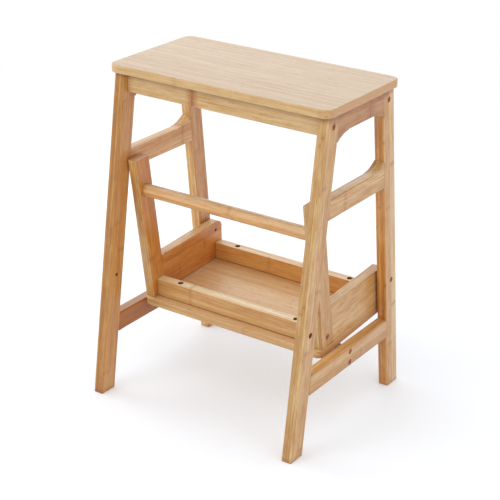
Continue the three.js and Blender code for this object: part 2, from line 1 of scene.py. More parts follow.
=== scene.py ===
"""Looks of a folding step stool in laminated bamboo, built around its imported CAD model.

The bars, legs and panels are copies of their nodes, with the edges eased where the real ones are.
The boards, the round crossbar, the bolts and the screws are made anew, because they need finer
rounding or a socket. The washers and inserts keep their CAD mesh. Each wooden piece gets bamboo
that runs along its own length.
Metres, in the frame of the CAD model.
"""
import json
import math
import random

import bmesh
import bpy
from mathutils import Matrix, Vector


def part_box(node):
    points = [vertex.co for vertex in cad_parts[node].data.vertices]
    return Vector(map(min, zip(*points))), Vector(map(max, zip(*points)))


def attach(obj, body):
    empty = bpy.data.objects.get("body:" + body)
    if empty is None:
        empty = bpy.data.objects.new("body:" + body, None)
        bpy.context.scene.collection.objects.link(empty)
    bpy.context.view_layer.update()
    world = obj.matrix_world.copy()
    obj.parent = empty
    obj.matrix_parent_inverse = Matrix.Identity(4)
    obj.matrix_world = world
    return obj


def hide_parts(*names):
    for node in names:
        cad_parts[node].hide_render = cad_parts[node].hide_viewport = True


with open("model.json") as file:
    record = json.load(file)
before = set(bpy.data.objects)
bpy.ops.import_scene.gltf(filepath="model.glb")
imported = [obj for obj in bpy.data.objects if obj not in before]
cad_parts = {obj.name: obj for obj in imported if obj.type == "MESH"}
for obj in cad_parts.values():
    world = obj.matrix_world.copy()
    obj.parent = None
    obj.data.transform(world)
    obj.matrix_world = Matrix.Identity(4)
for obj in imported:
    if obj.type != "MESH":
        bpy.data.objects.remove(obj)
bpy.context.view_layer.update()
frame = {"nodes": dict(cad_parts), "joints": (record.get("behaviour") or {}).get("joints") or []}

MM = 0.001

# The rounding of open edges, of cut ends and of edges that meet another piece
EDGE_RADIUS = 2.2 * MM
FOOT_RADIUS = 1.2 * MM
SEAM_RADIUS = 0.7 * MM
EDGE_SEGMENTS = 4
PROFILE = 0.5
# A shorter edge is a facet of a bore's rim, and stays sharp
RIM_CHORD = 3 * MM
MERGE_DISTANCE = 0.005 * MM
# Faces that meet at less than the first angle are merged, and edges sharper than the second are
# creases
FLAT_ANGLE = math.radians(1)
SHARP_ANGLE = math.radians(28)

# A point this near to a plane is taken to be on it, and one this far inside an end is clear of it
PLAY = 0.4 * MM
END_MARGIN = 1 * MM
# The least share of an edge's length along an axis, for it to count as steep, as running along a
# splayed leg, as upright and as parallel
STEEP = 0.5
LEG_WISE = 0.9
UPRIGHT = 0.97
PARALLEL = 0.99

# Sizes that the pieces share with the CAD model
LEG_WIDTH = 37 * MM
RAIL_HEIGHT = 37 * MM
SEAT_CORNER = 18 * MM
TREAD_CORNER = 12 * MM
BOARD_EDGE = 2 * MM
# Facets of a board's corner and of the round crossbar
CORNER_SEGMENTS = 14
BAR_SEGMENTS = 72
# What lies this near to a bore's axis belongs to the bore, whose rough wood is the second material
BORE_REACH = 6 * MM
BORED = 1

# Fasteners. A bolt's socket is measured across its flats, and a screw's across its corners.
SHANK_RADIUS = 2.5 * MM
HEAD_CHAMFER = 0.6 * MM
CHAMFER_EASE = HEAD_CHAMFER / 3
BOLT_HEAD_HEIGHT = 4.5 * MM
BOLT_SOCKET = 3 * MM
BOLT_SOCKET_DEPTH = 2 * MM
SCREW_HEAD_HEIGHT = 3.5 * MM
SCREW_RECESS = 5.4 * MM
SCREW_RECESS_DEPTH = 1.8 * MM
RING_POINTS = 48
# Each socket's number of corners, their distance from the axis, and its depth
HEX_SOCKET = (6, BOLT_SOCKET / math.sqrt(3), BOLT_SOCKET_DEPTH)
SQUARE_RECESS = (4, SCREW_RECESS / 2, SCREW_RECESS_DEPTH)

# The photograph's camera, for an image as wide as it is high. Angles are in radians, and the lens
# and sensor in millimetres.
CAMERA_PLACE = (1.3215, -1.9800, 1.3222)
CAMERA_AZIMUTH = 0.587
CAMERA_ELEVATION = 0.406
CAMERA_ROLL = 0.019
CAMERA_LENS = 102.479
CAMERA_SENSOR = 36
CAMERA_SHIFT = (-0.00396, -0.01886)

# The studio. The lift is a glow that only the camera and reflections see, which brings the floor
# near to white. The floor is all white past the two distances of its fade.
FLOOR_SIZE = 24
FLOOR_COLOUR = "#EBEFF5"
FLOOR_ROUGHNESS = 0.9
FLOOR_SPECULAR = 0.1
FLOOR_LIFT = 0.2
FLOOR_FADE = (0.9, 2.2)
WHITE = (1, 1, 1, 1)
WORLD_LIGHT = 0.86
AIM = Vector((0, 0, 0.3))
# Each lamp's place, diameter and power in watts: a key lamp from the front left, a panel at the
# right, one at the left, and one behind that puts the sheen on the lacquer
LAMPS = {
    "key_lamp": ((-1.1, -2.7, 2.0), 2.0, 20),
    "side_panel_lamp": ((1.9, -0.5, 0.9), 1.2, 4),
    "left_lamp": ((-2.4, -0.2, 1.2), 1.6, 13),
    "sheen_lamp": ((-1.6, 2.5, 1.9), 2.4, 9),
}

# The step's own frame: its pivot axis at the origin and its tread level
hinge = frame["joints"][0]
PIVOT = Vector(hinge["pos_m"])
STORED_TILT = math.radians(hinge["range_deg"][1] - 180)
LEVEL_STEP = Matrix.Rotation(-STORED_TILT, 4, "X") @ Matrix.Translation(-PIVOT)
STEP_UP = LEVEL_STEP.inverted().to_3x3() @ Vector((0, 0, 1))
AS_IT_STANDS = Matrix.Identity(4)

# The sockets of a Mix node for colours: the share of the upper colour, the two colours, the result
SHARE, UNDER, OVER = 0, 6, 7
MIXED = 2


def linear(code):
    """An sRGB hex colour as linear RGBA."""
    channels = [int(code[at:at + 2], 16) / 255 for at in (1, 3, 5)]
    return [
        part / 12.92 if part <= 0.04045 else ((part + 0.055) / 1.055) ** 2.4 for part in channels
    ] + [1.0]


def add_node(tree, kind, inputs=(), **settings):
    """Adds a node. An input is a value, a socket, or a node whose first output is meant."""
    node = tree.nodes.new(kind)
    for name, value in settings.items():
        setattr(node, name, value)
    for key, value in dict(inputs).items():
        if isinstance(value, bpy.types.Node):
            value = value.outputs[0]
        if isinstance(value, bpy.types.NodeSocket):
            tree.links.new(value, node.inputs[key])
        else:
            node.inputs[key].default_value = value
    return node


def new_material(name):
    """A material without nodes, and its node tree."""
    material = bpy.data.materials.new(name)
    material.use_nodes = True
    material.node_tree.nodes.clear()
    return material, material.node_tree


def set_surface(tree, shader):
    """Makes a shader the surface of a material."""
    add_node(tree, "ShaderNodeOutputMaterial", {"Surface": shader})


# How the bamboo of a piece looks. strip and layer are the width and thickness of its glued strips,
# contrast is how far their tones differ, and streaks, figure and nodes are the strengths of the
# dark veins, of the cloudy figure and of the culm's nodes.
# Each tone is a middle, a dark and a pale colour. The flat tone shows on the faces that look
# along the layers' thickness, and the side tone on the others. The back tone takes the flat
# tone's place on the faces that the photograph doesn't show.
# On some pieces the flat and side tones carry painted light and shade, which the back tone leaves
# out.
FRAME_STOCK = {
    "strip": 18.5 * MM, "layer": 5 * MM, "contrast": 0.8, "streaks": 0.55, "figure": 0.36,
    "nodes": 0.5, "roughness": 0.3,
    "flat": ("#D1A36A", "#BE8748", "#DEBB88"),
    "side": ("#CCA468", "#BA8B4A", "#DCBC81"),
    "back": ("#D1A36A", "#BE8748", "#DEBB88"),
}
EVEN_STOCK = {
    **FRAME_STOCK, "contrast": 0.5,
}
TAN_STOCK = {
    **FRAME_STOCK,
    "flat": ("#D0A061", "#BD843F", "#DDB87F"),
}
# Its dark flat tone, on the right top rail's outer face, is partly a darker culm and partly
# painted shade of the seat's overhang.
BROWN_STOCK = {
    **FRAME_STOCK,
    "flat": ("#AF7540", "#9C5A1E", "#BC8C5E"),
}
PALE_STOCK = {
    **FRAME_STOCK,
    "flat": ("#D7AB75", "#C69355", "#E2BE8E"),
    "side": ("#D59449", "#C27C30", "#E0A964"),
}
ROSY_STOCK = {
    **FRAME_STOCK,
    "flat": ("#D19359", "#C07E3D", "#DAAA75"),
    "side": ("#E8B974", "#D7A25B", "#F1CD8E"),
}
ROSE_STOCK = {
    **ROSY_STOCK,
    "flat": ("#E5AB71", "#D4964E", "#EEC286"),
}
WARM_STOCK = {
    **FRAME_STOCK, "figure": 0.22,
    "flat": ("#CF9D60", "#BC8544", "#D8B27E"),
    "side": ("#EAB570", "#D99F55", "#F2C78E"),
}
# Its near-white side tone, on the front rail's top and underside, is painted sheen.
CREAM_SHEEN_STOCK = {
    **FRAME_STOCK, "figure": 0.18, "streaks": 0.35, "strip": 40 * MM,
    "flat": ("#D3A363", "#C18C49", "#DDB984"),
    "side": ("#FCE5B5", "#EDD09D", "#FFF2CF"),
}
# Its pale side tone, on the bar's top and underside, is painted highlight for the light along its
# top.
BAR_STOCK = {
    **FRAME_STOCK, "figure": 0.22, "streaks": 0.3, "strip": 40 * MM, "layer": 40 * MM,
    "roughness": 0.2,
    "flat": ("#DCA664", "#CA8E48", "#E5BA81"),
    "side": ("#DCB889", "#CAA169", "#E5CDA5"),
}
HONEY_STOCK = {
    **FRAME_STOCK, "streaks": 0.75,
    "flat": ("#CD8B44", "#BE7835", "#D69F5D"),
    "side": ("#B27A2C", "#A0651E", "#C19042"),
}
# Its orange flat tone, on the left step leg's inner face, is painted shade.
SPICE_SHADE_STOCK = {
    **FRAME_STOCK, "streaks": 0.65,
    "flat": ("#D78D3D", "#C87B2F", "#DFA255"),
    "side": ("#D1A25C", "#BF8B4A", "#E1B874"),
}
# Its orange flat tone, on the left step panel's inner face, is painted shade and warm bounce
# light.
AMBER_SHADE_STOCK = {
    **FRAME_STOCK, "streaks": 0.35,
    "flat": ("#D5863B", "#C5752D", "#DD9A52"),
    "side": ("#D6AC77", "#C8995D", "#DEBC8E"),
}
# Its orange flat tone, on the rear rail's inner face, is painted shade, and its pale side tone, on
# the rail's top, is painted sheen.
GOLD_SHADE_AND_SHEEN_STOCK = {
    **FRAME_STOCK, "streaks": 0.35, "strip": 40 * MM,
    "flat": ("#DD9A4B", "#CE883C", "#E5AE63"),
    "side": ("#EECC98", "#E1BA7E", "#F5DCB0"),
}
# Its dark orange flat tone, on the left lower rail's inner face, is painted shade.
DARK_SHADE_STOCK = {
    **FRAME_STOCK,
    "flat": ("#AA5A15", "#9A4C0D", "#B66F28"),
    "side": ("#B68144", "#A57035", "#C4965A"),
}
WIDE_STOCK = {
    **PALE_STOCK, "strip": 40 * MM,
    "flat": ("#D0A769", "#BE8F4A", "#DAB983"),
}
BOARD_STOCK = {
    "strip": 6.2 * MM, "layer": 15 * MM, "contrast": 0.6, "streaks": 0.18, "figure": 0.2,
    "nodes": 0.22, "roughness": 0.3,
    "flat": ("#C4A780", "#BA986C", "#CEB692"),
    "side": ("#CBA369", "#BB8C4F", "#D8B77F"),
    "back": ("#C4A780", "#BA986C", "#CEB692"),
}
# Its pale flat tone, on the tread's top inside the tray, is painted light against the tray's
# shade.
TREAD_STOCK = {
    **BOARD_STOCK,
    "flat": ("#E5BD88", "#DCAD72", "#EAC999"),
    "side": ("#C89A5F", "#B68345", "#D6AF77"),
}
# The pieces whose strips came from a paler or a darker culm. On the inner faces of the left
# frame and of the step their tones are also painted shade, darker and more orange where shade
# and warm bounce light fall; the tread's top is painted light, and the pale tops of the step's
# rails and of the crossbar are painted sheen.
STOCKS = {
    "left_front_leg": HONEY_STOCK, "left_step_leg": SPICE_SHADE_STOCK, "left_lower_rail": DARK_SHADE_STOCK,
    "right_front_leg": EVEN_STOCK, "right_rear_leg": PALE_STOCK, "left_rear_leg": ROSY_STOCK,
    "left_mid_rail": ROSE_STOCK,
    "right_lower_rail": WARM_STOCK, "step_front_rail": CREAM_SHEEN_STOCK, "step_crossbar": BAR_STOCK,
    "left_step_side_panel": AMBER_SHADE_STOCK, "right_step_side_panel": TAN_STOCK,
    "step_rear_rail": GOLD_SHADE_AND_SHEEN_STOCK,
    "right_top_rail": BROWN_STOCK,
    "front_apron": WIDE_STOCK, "rear_apron": WIDE_STOCK,
    "seat_board": BOARD_STOCK, "step_tread_board": TREAD_STOCK,
}
# Where a culm's node crosses a piece, as in the photograph: its distance along the piece from
# the middle, its strength and the reach of its halo. Elsewhere chance puts them.
NODES = {
    "front_apron": (-58 * MM, 1.0, 17 * MM),
    "right_top_rail": (30 * MM, 0.8, 26 * MM),
    "right_mid_rail": (-41 * MM, 0.35, 12 * MM),
    "left_mid_rail": (65 * MM, 0.4, 8 * MM),
    "step_front_rail": (-98 * MM, 0.3, 9 * MM),
    "right_step_side_panel": (13 * MM, 0.4, 9 * MM),
}
# The photograph shows the faces that look to the right, to the front and up
# The flat tone of these faces carries painted light and shade on some pieces
SHOWN_WAY = Vector((1, -1, 1))
# How far apart the pieces' own places in the noise can lie
SEED_REACH = 90
# The culm's nodes: a wavy dark line, broken into patches, in a warm halo
NODE_SPACING = 290 * MM
NODE_LINE = 1.6 * MM
NODE_HALO = 9 * MM
NODE_WAVE = 2.4 * MM
NODE_SHADE = 0.75
NODE_LEAST = 0.35
NODE_COLOUR = "#5A2600"
HALO_COLOUR = "#A25600"
PATCH_SIZE = 4.5 * MM
PATCH_BAND = (0.4, 0.6)
PATCH_LEAST = 0.15
# Bamboo's fibres, pores and glue lines are 0.1 to 0.4 mm wide. They are drawn coarser, so that
# they show. Each band is the part of its noise's values over which a pattern comes in.
NOISE_BAND = (0.3, 0.7)
NOISE_ROUGHNESS = 0.6
FIBRE_WIDTH = 0.9 * MM
FIBRE_LENGTH = 70 * MM
FIBRE_BAND = (0.35, 0.7)
FIBRE_SHADE = 0.26
FIBRE_COLOUR = "#9E6530"
PORE_WIDTH = 0.9 * MM
PORE_LENGTH = 13 * MM
PORE_BAND = (0.6, 0.74)
PORE_SHADE = 0.42
PORE_COLOUR = "#8A5A30"
VEIN_WIDTH = 1.6 * MM
VEIN_LENGTH = 120 * MM
VEIN_BAND = (0.5, 0.72)
VEIN_COLOUR = "#A8642C"
STREAK_WIDTH = 4.5 * MM
STREAK_LENGTH = 150 * MM
STREAK_LEAN = 0.4
FIGURE_WIDTH = 8 * MM
FIGURE_LENGTH = 34 * MM
STRIP_GLUE = 0.35 * MM
STRIP_GLUE_SHADE = 0.3
LAYER_GLUE = 0.6 * MM
LAYER_GLUE_SHADE = 0.55
GLUE_COLOUR = "#8E5C2A"
END_DARK = "#BC8652"
END_PALE = "#CFA06D"
END_DOTS = (0.4, 0.6)
# The share of a face's normal along a direction, from which it starts to look that way, and is
# taken to do so
FLAT_BAND = (0.55, 0.85)
END_BAND = (0.75, 0.95)
# Satin lacquer over sanded fibres
LACQUER_IOR = 1.5
LACQUER_COAT = 0.3
LACQUER_ROUGHNESS = 0.28
ROUGHNESS_SPREAD = 0.12
FIBRE_RELIEF = 0.12 * MM
FIBRE_RELIEF_STRENGTH = 0.12
# Lacquer that gathered in a joint, or darkened a foot's cut end. Below the seat the band is
# painted shade, the shadow of its overhang.
JOINT_AND_SHADOW_COLOUR = "#702C00"
JOINT_LINE = 0.7 * MM
JOINT_REACH = 2.2 * MM
JOINT_SHADE = 0.75
# Painted shade: the seat's shadow below its overhang, on the tops of the legs and aprons
SEAT_SHADOW_REACH = 16 * MM
SEAT_SHADOW_STRENGTH = 0.75
FOOT_REACH = 9 * MM
FOOT_SHADE = 0.3
# The rough walls of bores
BORE_DARK = "#8A552F"
BORE_PALE = "#B87F50"
BORE_BAND = (0.4, 0.65)
BORE_ROUGHNESS = 0.85
BORE_RELIEF = 0.2 * MM
BORE_RELIEF_STRENGTH = 0.4
# The mottled plating of bolts and screws
MOTTLE_SIZE = 1.2 * MM
MOTTLE_BAND = (0.35, 0.65)
MOTTLE_GLOSS = 0.15


def toned(tree, tone_at, colours):
    """A tone between dark at 0, middle at a half and pale at 1."""
    ramp = add_node(tree, "ShaderNodeValToRGB", {0: tone_at})
    middle, dark, pale = (linear(code) for code in colours)
    ramp.color_ramp.elements[0].color = dark
    ramp.color_ramp.elements[1].color = pale
    ramp.color_ramp.elements.new(0.5).color = middle
    return ramp


def facing_along(tree, direction, band):
    """How much of a face's normal lies along a direction, and 0 to 1 over a band of that share,
    whichever way the face looks."""
    place = add_node(tree, "ShaderNodeTexCoord")
    facing = add_node(tree, "ShaderNodeVectorMath", {
        0: place.outputs["Normal"], 1: direction,
    }, operation="DOT_PRODUCT").outputs["Value"]
    either_way = add_node(tree, "ShaderNodeMath", {0: facing}, operation="ABSOLUTE")
    amount = add_node(tree, "ShaderNodeMapRange", {
        "Value": either_way, "From Min": band[0], "From Max": band[1],
    }, interpolation_type="SMOOTHSTEP")
    return facing, amount


def strip_tone(tree, look, own_tone, streaks, clouds, through):
    """The tone of the bare strips: each leans to a darker or paler one, with broad streaks and
    clouds. Side faces, flat faces and flat faces that the photograph doesn't show differ."""
    lean = add_node(tree, "ShaderNodeMapRange", {
        "Value": own_tone, "To Min": 0.5 - look["contrast"] / 2,
        "To Max": 0.5 + look["contrast"] / 2,
    })
    tone_at = lean
    for noise, strength in ((streaks, STREAK_LEAN), (clouds, look["figure"])):
        waver = add_node(tree, "ShaderNodeMapRange", {
            "Value": noise, "From Min": NOISE_BAND[0], "From Max": NOISE_BAND[1],
            "To Min": -strength, "To Max": strength,
        })
        tone_at = add_node(tree, "ShaderNodeMath", {0: tone_at, 1: waver}, operation="ADD")
    facing, is_flat = facing_along(tree, through, FLAT_BAND)
    # The shown flat tone, and on some pieces the side tone, carries painted light and shade
    is_shown = add_node(tree, "ShaderNodeMath", {0: facing, 1: 0.0},
                        operation="GREATER_THAN" if through.dot(SHOWN_WAY) > 0 else "LESS_THAN")
    flat_tone = add_node(tree, "ShaderNodeMix", {
        SHARE: is_shown, UNDER: toned(tree, tone_at, look["back"]),
        OVER: toned(tree, tone_at, look["flat"]),
    }, data_type="RGBA")
    tone = add_node(tree, "ShaderNodeMix", {
        SHARE: is_flat, UNDER: toned(tree, tone_at, look["side"]), OVER: flat_tone.outputs[MIXED],
    }, data_type="RGBA")
    return tone, is_flat


def culm_nodes(tree, turned, length, lots, mark, start, is_placed):
    """The halo and the line of the nodes that cross a piece once in each spacing. mark is their
    strength and the reach of their halo, and start the share of a spacing at which they begin.
    Unless they are placed, each strip has its own start and strength."""
    strength, halo_reach = mark
    sway = add_node(tree, "ShaderNodeTexNoise", {
        "Vector": turned, "Scale": 1 / STREAK_WIDTH, "Detail": 1.0,
    })
    swayed = add_node(tree, "ShaderNodeMath", {0: sway, 1: NODE_WAVE, 2: length},
                      operation="MULTIPLY_ADD")
    offset = add_node(tree, "ShaderNodeMath", {
        0: lots[1], 1: 0.0 if is_placed else 1.0, 2: start,
    }, operation="MULTIPLY_ADD")
    turns = add_node(tree, "ShaderNodeMath", {0: swayed, 1: 1 / NODE_SPACING, 2: offset},
                     operation="MULTIPLY_ADD")
    phase = add_node(tree, "ShaderNodeMath", {0: turns}, operation="FRACT")
    aside = add_node(tree, "ShaderNodeMath", {0: phase, 1: 0.5}, operation="SUBTRACT")
    distance = add_node(tree, "ShaderNodeMath", {0: aside}, operation="ABSOLUTE")
    own_strength = add_node(tree, "ShaderNodeMapRange", {
        "Value": lots[2], "To Min": 1.0 if is_placed else NODE_LEAST, "To Max": 1.0,
    })

    def within(reach, shade):
        near = add_node(tree, "ShaderNodeMapRange", {
            "Value": distance, "From Min": 0.0, "From Max": reach / NODE_SPACING,
            "To Min": shade, "To Max": 0.0,
        }, interpolation_type="SMOOTHSTEP")
        return add_node(tree, "ShaderNodeMath", {0: near, 1: own_strength}, operation="MULTIPLY")

    patches = add_node(tree, "ShaderNodeTexNoise", {
        "Vector": turned, "Scale": 1 / PATCH_SIZE, "Detail": 2.0,
    })
    patchy = add_node(tree, "ShaderNodeMapRange", {
        "Value": patches, "From Min": PATCH_BAND[0], "From Max": PATCH_BAND[1],
        "To Min": PATCH_LEAST, "To Max": 1.0,
    })
    line = add_node(tree, "ShaderNodeMath", {
        0: within(NODE_LINE, strength), 1: patchy,
    }, operation="MULTIPLY")
    return within(halo_reach, strength * NODE_SHADE), line


def glue_line(tree, cell_place, size, reach, strength):
    """The line where two strips or two layers meet."""
    inside = add_node(tree, "ShaderNodeMath", {0: cell_place, 1: 0.5}, operation="PINGPONG")
    return add_node(tree, "ShaderNodeMapRange", {
        "Value": inside, "From Min": 0.0, "From Max": reach / size,
        "To Min": strength, "To Max": 0.0,
    })


def end_grain(tree, turned, layer_line, strip_line):
    """Cut ends are dotted with the cut fibres and show the glue lines of strips and layers."""
    dots = add_node(tree, "ShaderNodeTexNoise", {
        "Vector": turned, "Scale": 1 / FIBRE_WIDTH, "Detail": 1.0,
    })
    tone = add_node(tree, "ShaderNodeValToRGB", {0: dots})
    for stop, at, colour in zip(tone.color_ramp.elements, END_DOTS, (END_DARK, END_PALE)):
        stop.position = at
        stop.color = linear(colour)
    lines = add_node(tree, "ShaderNodeMath", {0: layer_line, 1: strip_line}, operation="MAXIMUM")
    return add_node(tree, "ShaderNodeMix", {
        SHARE: lines, UNDER: tone, OVER: linear(GLUE_COLOUR),
    }, data_type="RGBA")


def bamboo(piece, along, across, centre, joints=()):
    """Laminated bamboo, sanded and lacquered satin: long strips of slightly different tone,
    each crossed by its culm's nodes, with fine fibres. along and across are the directions of
    the strips' length and width. joints are places along (0) or across (1), from the centre,
    where the piece meets another or ends and its lacquer is darker, with that shade's reach and
    strength. Below the seat that darker band is painted shade, the shadow of its overhang."""
    material, tree = new_material(f"bamboo_{piece}")
    look = STOCKS.get(piece, FRAME_STOCK)
    chance = random.Random(piece)
    along = Vector(along).normalized()
    across = Vector(across).normalized()
    through = along.cross(across)
    turn = Matrix((along, across, through))
    seed = chance.uniform(0, SEED_REACH)
    is_placed = piece in NODES
    node_at, *mark = NODES.get(piece, (0, look["nodes"], NODE_HALO))
    start = 0.5 - node_at / NODE_SPACING if is_placed else chance.uniform(0, 1)
    place = add_node(tree, "ShaderNodeTexCoord")
    turned = add_node(tree, "ShaderNodeMapping", {
        "Vector": place.outputs["Object"], "Rotation": turn.to_euler(),
        "Location": -(turn @ Vector(centre)),
    })
    own = add_node(tree, "ShaderNodeSeparateXYZ", {0: turned})
    length, width, depth = own.outputs

    # The strip that a point lies in, and that strip's own random values
    strip_at = add_node(tree, "ShaderNodeMath", {0: width, 1: look["strip"]}, operation="DIVIDE")
    layer_at = add_node(tree, "ShaderNodeMath", {0: depth, 1: look["layer"]}, operation="DIVIDE")
    strip = add_node(tree, "ShaderNodeMath", {0: strip_at}, operation="FLOOR")
    layer = add_node(tree, "ShaderNodeMath", {0: layer_at}, operation="FLOOR")
    cell = add_node(tree, "ShaderNodeCombineXYZ", {0: strip, 1: layer, 2: seed})
    random_strip = add_node(tree, "ShaderNodeTexWhiteNoise", {"Vector": cell})
    lots = add_node(tree, "ShaderNodeSeparateColor", {0: random_strip.outputs["Color"]}).outputs

    # Patterns drawn out along the strips, each moved by its salt so that no two are alike
    def drawn_out(width_of, length_of, detail, salt):
        scale = (1 / length_of, 1 / width_of, 1 / width_of)
        stretched = add_node(tree, "ShaderNodeVectorMath", {0: turned, 1: scale},
                             operation="MULTIPLY")
        moved = add_node(tree, "ShaderNodeVectorMath", {0: stretched, 1: (seed, salt, seed)},
                         operation="ADD")
        return add_node(tree, "ShaderNodeTexNoise", {
            "Vector": moved, "Scale": 1.0, "Detail": detail, "Roughness": NOISE_ROUGHNESS,
        })

    fibres = drawn_out(FIBRE_WIDTH, FIBRE_LENGTH, detail=3, salt=3)
    streaks = drawn_out(STREAK_WIDTH, STREAK_LENGTH, detail=2, salt=11)
    pores = drawn_out(PORE_WIDTH, PORE_LENGTH, detail=1, salt=29)
    veins = drawn_out(VEIN_WIDTH, VEIN_LENGTH, detail=2, salt=47)
    clouds = drawn_out(FIGURE_WIDTH, FIGURE_LENGTH, detail=2, salt=61)
    tone, is_flat = strip_tone(tree, look, lots[0], streaks, clouds, through)

    # What darkens the strips, one over the other, each with its amount and its colour
    stains = []
    for noise, band, strength, colour in (
        (veins, VEIN_BAND, look["streaks"], VEIN_COLOUR),
        (fibres, FIBRE_BAND, FIBRE_SHADE, FIBRE_COLOUR),
        (pores, PORE_BAND, PORE_SHADE, PORE_COLOUR),
    ):
        shade = add_node(tree, "ShaderNodeMapRange", {
            "Value": noise, "From Min": band[0], "From Max": band[1],
            "To Min": 0.0, "To Max": strength,
        })
        stains.append((shade, colour))
    halo, line = culm_nodes(tree, turned, length, lots, mark, start, is_placed)
    stains += [(halo, HALO_COLOUR), (line, NODE_COLOUR)]
    # Flat faces show the lines between strips, and the others the lines between layers. No line
    # is drawn the other way, because a face can lie on the border of two layers.
    layer_line = glue_line(tree, layer_at, look["layer"], LAYER_GLUE, LAYER_GLUE_SHADE)
    strip_line = glue_line(tree, strip_at, look["strip"], STRIP_GLUE, STRIP_GLUE_SHADE)
    glue = add_node(tree, "ShaderNodeMix", {"Factor": is_flat, "A": layer_line, "B": strip_line})
    stains.append((glue, GLUE_COLOUR))
    # Dark joints and feet, and below the seat a band of painted shade
    for axis, at, reach, strength in joints:
        away = add_node(tree, "ShaderNodeMath", {0: own.outputs[axis], 1: at},
                        operation="SUBTRACT")
        off = add_node(tree, "ShaderNodeMath", {0: away}, operation="ABSOLUTE")
        shade = add_node(tree, "ShaderNodeMapRange", {
            "Value": off, "From Min": JOINT_LINE, "From Max": reach,
            "To Min": strength, "To Max": 0.0,
        }, interpolation_type="SMOOTHSTEP")
        stains.append((shade, JOINT_AND_SHADOW_COLOUR))
    stained = tone
    for amount, colour in stains:
        stained = add_node(tree, "ShaderNodeMix", {
            SHARE: amount, UNDER: stained.outputs[MIXED], OVER: linear(colour),
        }, data_type="RGBA")

    is_end = facing_along(tree, along, END_BAND)[1]
    ends = end_grain(tree, turned, layer_line, strip_line)
    coloured = add_node(tree, "ShaderNodeMix", {
        SHARE: is_end, UNDER: stained.outputs[MIXED], OVER: ends.outputs[MIXED],
    }, data_type="RGBA")
    gloss = add_node(tree, "ShaderNodeMapRange", {
        "Value": fibres, "From Min": NOISE_BAND[0], "From Max": NOISE_BAND[1],
        "To Min": look["roughness"], "To Max": look["roughness"] + ROUGHNESS_SPREAD,
    })
    relief = add_node(tree, "ShaderNodeBump", {
        "Height": fibres, "Strength": FIBRE_RELIEF_STRENGTH, "Distance": FIBRE_RELIEF,
    })
    set_surface(tree, add_node(tree, "ShaderNodeBsdfPrincipled", {
        "Base Color": coloured.outputs[MIXED], "Roughness": gloss, "Normal": relief,
        "IOR": LACQUER_IOR, "Coat Weight": LACQUER_COAT, "Coat Roughness": LACQUER_ROUGHNESS,
    }))
    return material


def plated_metal(name, pale, dark, roughness):
    """Plated steel, tumbled before plating: a soft mottled sheen with no grain."""
    material, tree = new_material(name)
    place = add_node(tree, "ShaderNodeTexCoord")
    mottle = add_node(tree, "ShaderNodeTexNoise", {
        "Vector": place.outputs["Object"], "Scale": 1 / MOTTLE_SIZE, "Detail": 3.0,
    })
    tone = add_node(tree, "ShaderNodeValToRGB", {0: mottle})
    for stop, at, colour in zip(tone.color_ramp.elements, MOTTLE_BAND, (dark, pale)):
        stop.position = at
        stop.color = linear(colour)
    gloss = add_node(tree, "ShaderNodeMapRange", {
        "Value": mottle, "To Min": roughness, "To Max": roughness + MOTTLE_GLOSS,
    })
    set_surface(tree, add_node(tree, "ShaderNodeBsdfPrincipled", {
        "Base Color": tone, "Metallic": 1.0, "Roughness": gloss,
    }))
    return material


def bored_bamboo():
    """The rough walls of drilled holes: cut fibres, darker than the sanded faces."""
    material, tree = new_material("bored_bamboo")
    place = add_node(tree, "ShaderNodeTexCoord")
    fuzz = add_node(tree, "ShaderNodeTexNoise", {
        "Vector": place.outputs["Object"], "Scale": 1 / FIBRE_WIDTH, "Detail": 3.0,
    })
    tone = add_node(tree, "ShaderNodeValToRGB", {0: fuzz})
    for stop, at, colour in zip(tone.color_ramp.elements, BORE_BAND, (BORE_DARK, BORE_PALE)):
        stop.position = at
        stop.color = linear(colour)
    relief = add_node(tree, "ShaderNodeBump", {
        "Height": fuzz, "Strength": BORE_RELIEF_STRENGTH, "Distance": BORE_RELIEF,
    })
    set_surface(tree, add_node(tree, "ShaderNodeBsdfPrincipled", {
        "Base Color": tone, "Roughness": BORE_ROUGHNESS, "Normal": relief,
    }))
    return material


bored_wood = bored_bamboo()
bronze = plated_metal("bronze_plated_steel", "#DA9A70", "#AE7250", roughness=0.45)
zinc = plated_metal("zinc_plated_steel", "#A9A59C", "#77736C", roughness=0.3)


def box_middle(node):
    """The middle of a CAD node at rest."""
    low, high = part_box(node)
    return (low + high) / 2


def close_to(value, target, play=PLAY):
    """Whether two places along an axis are the same, give or take the play."""
    return abs(value - target) < play


def on_wide_face(middle, low, high):
    """Whether a point lies on one of the two faces across X."""
    return close_to(middle.x, low.x) or close_to(middle.x, high.x)


def copied(node, placement):
    """A node's mesh in the given frame, its triangles merged back into flat faces."""
    mesh = bmesh.new()
    mesh.from_mesh(frame["nodes"][node].data)
    bmesh.ops.transform(mesh, matrix=placement, verts=mesh.verts)
    bmesh.ops.remove_doubles(mesh, verts=mesh.verts, dist=MERGE_DISTANCE)
    bmesh.ops.dissolve_limit(mesh, angle_limit=FLAT_ANGLE, verts=mesh.verts, edges=mesh.edges)
    return mesh


def extent(mesh):
    """Lowest and highest corner of a bmesh."""
    low = Vector([min(v.co[axis] for v in mesh.verts) for axis in range(3)])
    high = Vector([max(v.co[axis] for v in mesh.verts) for axis in range(3)])
    return low, high


